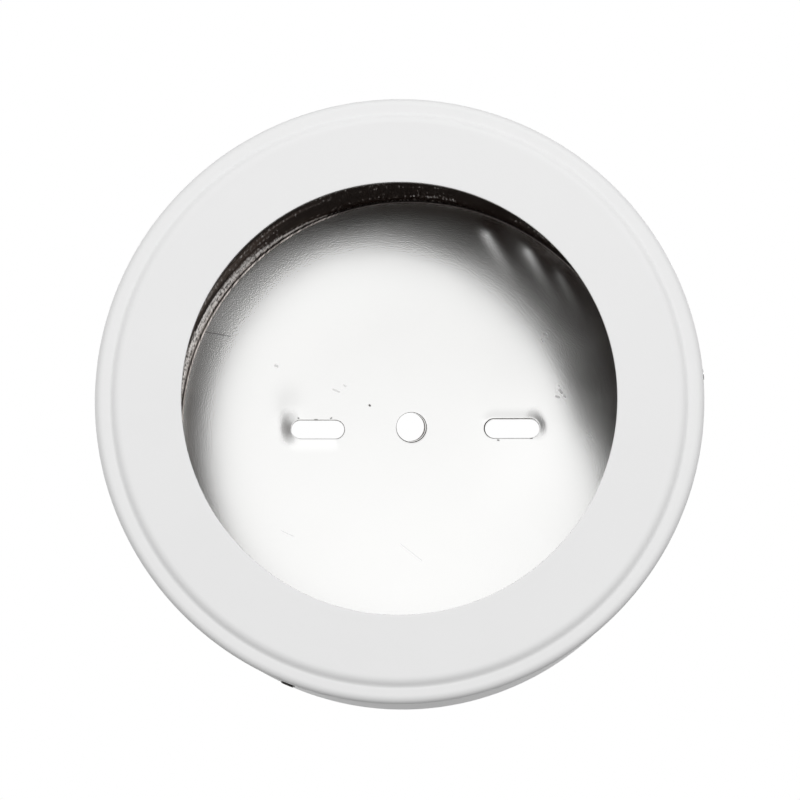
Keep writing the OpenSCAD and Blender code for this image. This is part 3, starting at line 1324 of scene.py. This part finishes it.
@dataclass
class SetScrew:
    """A slotted set screw with a flat point, its Z axis pointing outwards."""

    number: int
    driver_turn: float
    length: float = 10.0
    thread_r: float = 1.5
    root_r: float = 1.2
    tip_r: float = 1.1
    pitch: float = 0.5
    driver_w: float = 0.5
    driver_deep: float = 1.0
    # Gap between the screw's flat point and the cup
    point_gap: float = 0.1
    # Shares of half a pitch: half the flat at the root, and one flank
    root_flat: float = 0.2
    flank: float = 0.6
    # Radius of a flat inside each end, and the distance of the thread's first ring
    flat_r: float = 0.6
    end_gap: float = 0.02
    crease: float = 50.0
    rows: int = 160
    steps: int = 36

    def radius(self, angle: float, z: float) -> float:
        """Gives the outside at a place on the thread.

        Args:
            angle: Direction in radians about the screw's axis.
            z: Height above the point.

        Returns:
            The radius.
        """
        turn = (z / self.pitch - angle / math.tau) % 1.0
        flank = (1 - abs(2 * turn - 1) - self.root_flat) / self.flank
        ridge = min(max(flank, 0.0), 1.0)
        thread = self.root_r + (self.thread_r - self.root_r) * ridge
        return min(thread, self.tip_r + z, self.tip_r + self.length - z)

    def build(self, cover: Cover, cup: BaseCup, finish: Finish, body: Body) -> bpy.types.Object:
        """Builds the screw, with its point on the cup.

        Args:
            cover: The cover that holds it.
            cup: The cup that it bears on.
            finish: Its finish.
            body: The body that it rides on.

        Returns:
            The screw.
        """
        heights = spread(self.end_gap, self.length - self.end_gap, self.rows)

        def profile(angle: float) -> list[Point]:
            """Points of radius and height, from the point to the driver end."""
            return (
                [(0, 0), (self.flat_r, 0)] + [(self.radius(angle, z), z) for z in heights]
                + [(self.flat_r, self.length), (0, self.length)])

        draft = Draft()
        draft.revolve(profile, self.steps, [0] * (len(profile(0.0)) - 1))
        turn = math.radians(cover.screw_angle(self.number))
        shift = -cover.centre_x
        reach = shift * math.cos(turn) + math.sqrt(
            cup.outer_r ** 2 - (shift * math.sin(turn)) ** 2)
        place = cover.screw_place(self.number, reach + self.point_gap)
        piece = draft.build(
            f"slotted_screw_{self.number}", place, [finish.material()], self.crease)
        carve(piece, self.driver(), place @ Matrix.Rotation(
            math.radians(self.driver_turn), 4, "Z"), self.crease)
        settle(piece, f"set_screw_{self.number}", body)
        return piece

    def driver(self) -> Draft:
        """Makes the solid that cuts the driver slot.

        Returns:
            The solid, in the screw's own frame.
        """
        x, y = self.thread_r + OVER, self.driver_w / 2
        low, high = self.length - self.driver_deep, self.length + OVER
        draft = Draft()
        draft.add_points([Vector((a * x, b * y, z)) for z in (low, high)
                          for a, b in ((-1, -1), (1, -1), (1, 1), (-1, 1))])
        for corners in ((3, 2, 1, 0), (4, 5, 6, 7), (0, 1, 5, 4),
                        (1, 2, 6, 5), (2, 3, 7, 6), (3, 0, 4, 7)):
            draft.add_face(corners)
        return draft


@dataclass
class CoverNut:
    """A pressed-in hexagonal nut, its Z axis pointing outwards from the cover's."""

    number: int
    flats: float = 5.5
    body_len: float = 2.5
    shank_r: float = 2.3
    bore_r: float = 1.54
    thread_deep: float = 0.22
    pitch: float = 0.5
    gap: float = 0.02
    # Depths below the chamfered face at which the hexagon gets points
    ramps: tuple[float, ...] = (0.0, 0.06, 0.12, 0.18, 0.25, 0.4)
    # How many of them, at half the depth, the face at the wall gets
    seat_ramps: int = 4
    # Chamfers: on the shank, and of the bore at its outer and inner end
    shank_break: float = 0.1
    bore_breaks: Point = (0.15, 0.25)
    # Steepness of the thread's flanks, 1 being that of a ridge as wide as its pitch
    steepness: float = 1.3
    crease: float = 28.0
    rows: int = 60
    steps: int = 96

    def build(self, cover: Cover, finish: Finish) -> bpy.types.Object:
        """Builds the nut in the cover's wall.

        Args:
            cover: The cover that holds it.
            finish: Its finish.

        Returns:
            The nut.
        """
        sixth = math.radians(60)
        corner = self.flats / math.sqrt(3)
        seat = math.sqrt((cover.wall_r - cover.sheet) ** 2 - corner ** 2) - self.gap
        end = math.sqrt(cover.wall_r ** 2 - self.shank_r ** 2) - self.gap
        start = seat - self.body_len
        cut = self.shank_break
        outer, inner = self.bore_breaks
        bore = spread(end - cut, start + inner, self.rows)

        def hexagon(angle: float, deep: float) -> float:
            """Radius of the hexagon at a depth below a chamfered face."""
            flat = self.flats / 2 / math.cos(angle % sixth - sixth / 2)
            return min(flat, self.flats / 2 + deep * math.tan(sixth))

        def groove(angle: float, z: float) -> float:
            """Radius of the threaded bore."""
            ridge = 1 - abs(2 * ((z / self.pitch - angle / math.tau) % 1.0) - 1) * self.steepness
            return self.bore_r + self.thread_deep * max(ridge, 0.0)

        def profile(angle: float) -> list[Point]:
            """Points of radius and height round the nut's section."""
            return (
                [(hexagon(angle, d), start + d) for d in self.ramps]
                + [(hexagon(angle, d), seat - d / 2)
                   for d in reversed(self.ramps[:self.seat_ramps])]
                + [(self.shank_r, seat), (self.shank_r, end - cut), (self.shank_r - cut, end)]
                + [(self.bore_r + outer, end)] + [(groove(angle, z), z) for z in bore]
                + [(self.bore_r + inner, start)])

        draft = Draft()
        draft.revolve(profile, self.steps, [0] * len(profile(0.0)))
        piece = draft.build(
            f"pressed_nut_{self.number}", cover.screw_place(self.number),
            [finish.material()], self.crease)
        settle(piece, f"cover_nut_{self.number}", Body.COVER)
        return piece


@dataclass(frozen=True)
class Softbox:
    """A soft square lamp that shines at the housing: mm, watts and degrees."""

    name: str
    at: Triple
    size: float
    power: float
    # Angle of its beam, which a grid before it narrows
    beam: float = 180.0
    target: Triple = (0.0, 0.0, -25.0)

    def build(self) -> None:
        """Adds the lamp."""
        light = bpy.data.lights.new(self.name, "AREA")
        light.shape = "SQUARE"
        light.size = self.size * MM
        light.energy = self.power
        light.spread = math.radians(self.beam)
        lamp = bpy.data.objects.new(self.name, light)
        # The backdrop alone is mirrored in bare metal, as in a light tent
        lamp.visible_glossy = False
        lamp.location = Vector(self.at) * MM
        towards = Vector(self.target) - Vector(self.at)
        lamp.rotation_euler = towards.to_track_quat("-Z", "Y").to_euler()
        bpy.context.scene.collection.objects.link(lamp)


@dataclass
class Studio:
    """The plain white studio: world, floor, soft lamps and camera."""

    # The world's level for surfaces, while the camera and reflections see white
    ambient: float = 0.29
    # What the floor gives to such rays beside the light that falls on it, how much
    # less on the side that the plate's upper part mirrors, and from where to where
    floor_glow: float = 0.78
    floor_fade: float = 0.18
    fade_span: Point = (-320.0, -60.0)
    floor_z: float = -1500.0
    floor_half: float = 1600.0
    softboxes: tuple[Softbox, ...] = (
        Softbox("key_softbox", (50, -430, -1200), 600, 11.3),
        Softbox("back_softbox", (250, -300, 1200), 700, 4.0),
        Softbox("left_softbox", (-900, 0, 700), 400, 0.62, 60.0),
        Softbox("right_softbox", (900, -100, 700), 400, 0.45, 60.0))
    sensor: float = 36.0
    lens: float = 149.0
    # Nearest and farthest that the camera sees
    clip: Point = (10.0, 20000.0)
    camera_at: Triple = (6.77, 74.04, -640.4)
    camera_right: Triple = (0.999907, -0.00168, 0.013509)
    camera_up: Triple = (0.0, -0.99235, -0.12343)
    camera_back: Triple = (0.013613, 0.123419, -0.992258)

    def seen(self, tree: Tree) -> Socket:
        """Adds the test for rays that see the background: camera, mirror or glass.

        Args:
            tree: The nodes that get the test.

        Returns:
            A socket that is 1 for such a ray.
        """
        path = add_node(tree, "ShaderNodeLightPath").outputs
        first = add_node(tree, "ShaderNodeMath", {
            0: path["Is Camera Ray"], 1: path["Is Glossy Ray"]}, operation="MAXIMUM")
        return add_node(tree, "ShaderNodeMath", {
            0: first.outputs[0], 1: path["Is Transmission Ray"]},
            operation="MAXIMUM").outputs[0]

    def world(self) -> None:
        """Makes the world."""
        world = bpy.data.worlds.new("studio")
        world.use_nodes = True
        tree = world.node_tree
        tree.nodes.clear()
        level = add_node(tree, "ShaderNodeMapRange", {
            "Value": self.seen(tree), "To Min": self.ambient, "To Max": 1.0})
        sky = add_node(tree, "ShaderNodeBackground", {
            "Color": (1, 1, 1, 1), "Strength": level.outputs[0]})
        add_node(tree, "ShaderNodeOutputWorld", {"Surface": sky.outputs[0]})
        bpy.context.scene.world = world

    def floor(self) -> None:
        """Makes the pale floor far below the housing."""
        half = self.floor_half
        draft = Draft()
        draft.add_points([Vector((x, y, self.floor_z))
                          for x, y in ((-half, -half), (half, -half), (half, half), (-half, half))])
        draft.add_face((0, 1, 2, 3))
        material = bpy.data.materials.new("studio_floor")
        material.use_nodes = True
        tree = material.node_tree
        tree.nodes.clear()
        place = add_node(tree, "ShaderNodeTexCoord").outputs["Object"]
        across = add_node(tree, "ShaderNodeSeparateXYZ", {"Vector": place}).outputs[1]
        start, end = (limit * MM for limit in self.fade_span)
        fade = add_node(tree, "ShaderNodeMapRange", {
            "Value": across, "From Min": start, "From Max": end,
            "To Min": self.floor_glow - self.floor_fade, "To Max": self.floor_glow})
        level = add_node(tree, "ShaderNodeMath", {
            0: self.seen(tree), 1: fade.outputs[0]}, operation="MULTIPLY")
        matt = add_node(tree, "ShaderNodeBsdfDiffuse", {"Color": linear("F2F2F2")})
        glow = add_node(tree, "ShaderNodeEmission", {
            "Color": (1, 1, 1, 1), "Strength": level.outputs[0]})
        both = add_node(tree, "ShaderNodeAddShader", {0: matt.outputs[0], 1: glow.outputs[0]})
        add_node(tree, "ShaderNodeOutputMaterial", {"Surface": both.outputs[0]})
        floor = draft.build("floor", Matrix.Identity(4), [material])

    def camera(self) -> None:
        """Makes the camera at the photograph's viewpoint."""
        data = bpy.data.cameras.new("camera")
        data.sensor_fit = "HORIZONTAL"
        data.sensor_width = self.sensor
        data.lens = self.lens
        data.clip_start, data.clip_end = (limit * MM for limit in self.clip)
        camera = bpy.data.objects.new("camera", data)
        axes = Matrix((self.camera_right, self.camera_up, self.camera_back)).transposed()
        camera.matrix_world = Matrix.Translation(Vector(self.camera_at) * MM) @ axes.to_4x4()
        bpy.context.scene.collection.objects.link(camera)
        bpy.context.scene.camera = camera

    def build(self) -> None:
        """Makes the whole studio."""
        self.world()
        self.floor()
        for softbox in self.softboxes:
            softbox.build()
        self.camera()
        bpy.context.scene.view_settings.view_transform = "Standard"


def main() -> None:
    """Builds the studio and the housing's pieces in order."""
    logging.basicConfig(level=logging.INFO, format="%(name)s: %(message)s")
    Studio().build()
    cover = Cover()
    cup = BaseCup()
    # The inside's grey tone is painted shade for the shade that the cover's inside lies in
    cover.build(PowderCoat(), PowderCoat(
        "powder_coat_shaded_inside", pale="A9A7A4", deep="969491", smooth=0.6, rough=0.7))
    cup.build((
        RolledSteel(),
        DrawnSteel(),
        DrawnSteel("drawn_steel_outside", dark="B9B6B2", worn="BCB9B5", pale="C0BDB9",
                   edge="E8E6E4", rubbed=0.4, scuff_and_light_zone=0.4, even=1.0, rubbed_roughness=0.5),
        DrawnSteel("sheared_steel_edge", dark="7A7673", worn="8C8885", pale="B0ACA9",
                   edge="8C8885", rubbed=0.4, scuff_and_light_zone=0.4, even=1.0, roughness=0.5,
                   rubbed_roughness=0.5),
        RolledSteel("rolled_steel_back", pale="D6D4D1", deep="CBC9C6", roughness=0.30,
                    scratches=(Scratch((-12.0, 14.0), (-3.0, 24.0), 0.12, 0.3),),
                    specks=(Scratch((9.0, 11.0), (9.4, 11.2), 0.2, 0.4),))))
    zinc = PlatedSteel()
    oxide = PlatedSteel(
        "black_oxide_steel", tone="1F1D1C", rubbed="575350", roughness=0.40, wear=0.35)
    screws = ((1, 0.0, Body.SCREW_1), (2, 90.0, Body.SCREW_2), (3, 35.0, Body.SCREW_3))
    for number, turn, body in screws:
        CoverNut(number).build(cover, zinc)
        SetScrew(number, turn).build(cover, cup, oxide, body)


if __name__ == "__main__":
    main()
